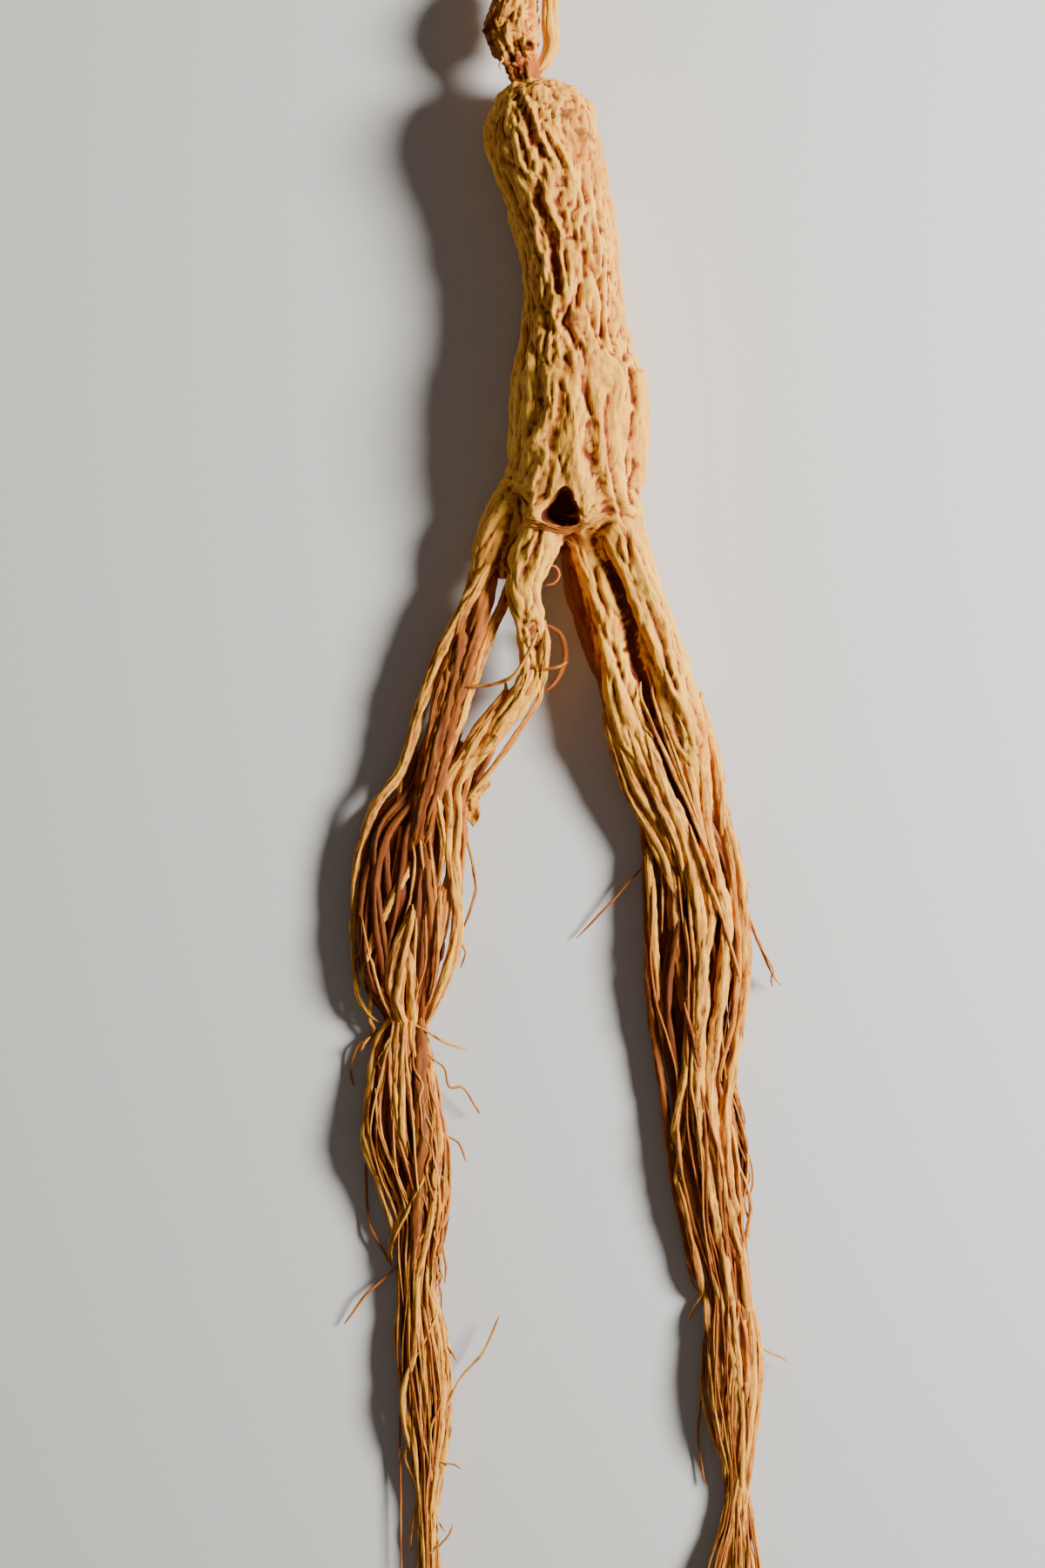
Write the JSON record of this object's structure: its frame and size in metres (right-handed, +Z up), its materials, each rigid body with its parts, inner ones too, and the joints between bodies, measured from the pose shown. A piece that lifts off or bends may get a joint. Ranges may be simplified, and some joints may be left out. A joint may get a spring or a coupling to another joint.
{
  "type": "ginseng root",
  "caption": "Whole dried Asian ginseng root: knobbly neck, wrinkled main root that forks into limbs, and two long legs of fine rootlets drawn in at waists",
  "frame": {"origin": "middle of the flat resting spot under the belly of the main root, just above the fork", "axes": "+Y runs along the root to its neck, +Z up from the surface it lies on, +X to the side of the leg with the two stout limbs"},
  "size_m": [0.0736, 0.3084, 0.0169],
  "materials": {
    "dried_root": "dry and matt, straw-coloured, red-brown in the creases"
  },
  "bodies": {
    "root": {"ginseng_root": "dried_root"}
  },
  "joints": []
}
